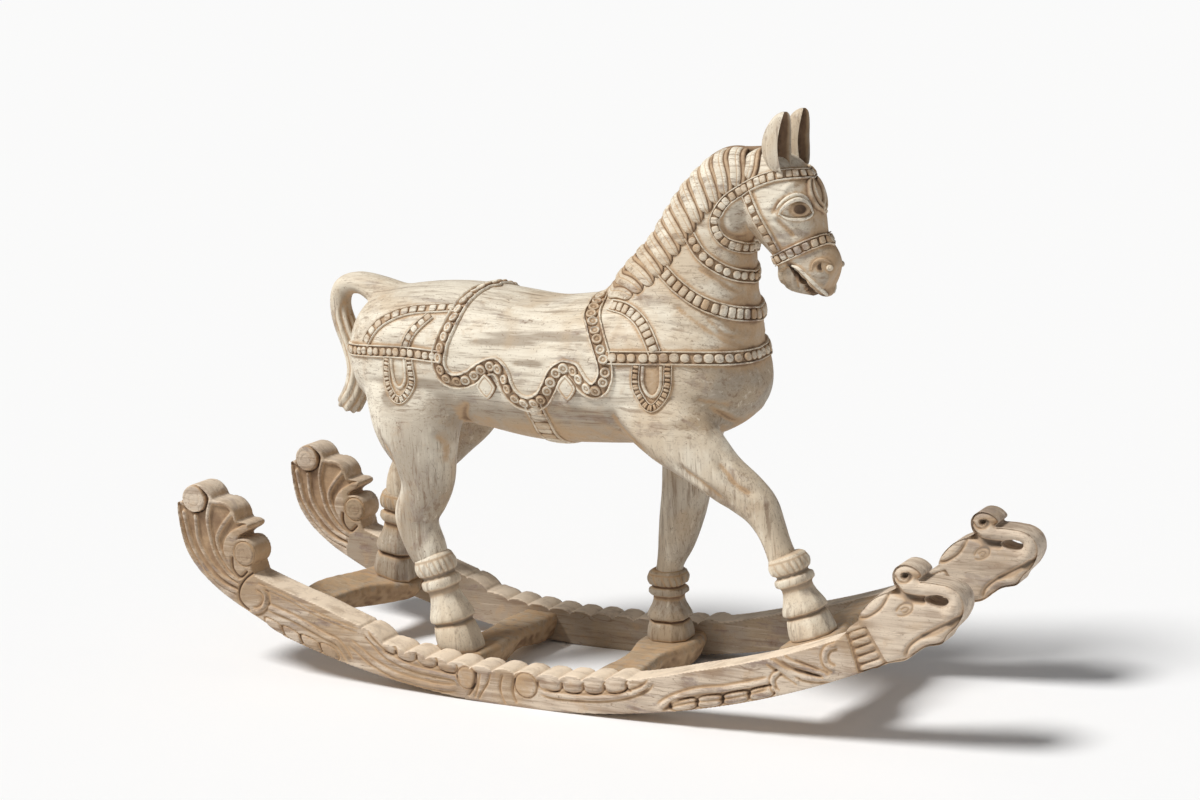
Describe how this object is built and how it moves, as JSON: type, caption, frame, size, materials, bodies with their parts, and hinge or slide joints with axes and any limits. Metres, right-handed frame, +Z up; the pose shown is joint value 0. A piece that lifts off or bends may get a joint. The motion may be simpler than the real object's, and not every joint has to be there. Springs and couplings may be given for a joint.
{
  "type": "rocking horse",
  "caption": "Carved wooden rocking horse in mid stride with bead-edged tack, standing on crossbars between two curved rockers that end in plumes and elephant heads.",
  "frame": {"origin": "on the floor, under the middle of the overall box", "axes": "+X the way the horse faces, along the rockers; +Y to the horse's left; +Z up"},
  "size_m": [1.314, 0.35, 0.8611],
  "materials": {
    "limewashed_wood": "limewashed, rubbed back to bare tan wood in the carving",
    "rocker_wood": "bare tan top edges, thin limewash on the faces",
    "crossbar_wood": "rough sawn"
  },
  "bodies": {
    "root": {"horse": "limewashed_wood", "right_rocker": "rocker_wood", "left_rocker": "rocker_wood", "rear_crossbar": "crossbar_wood", "hind_crossbar": "crossbar_wood", "middle_crossbar": "crossbar_wood", "front_crossbar": "crossbar_wood"}
  },
  "joints": []
}
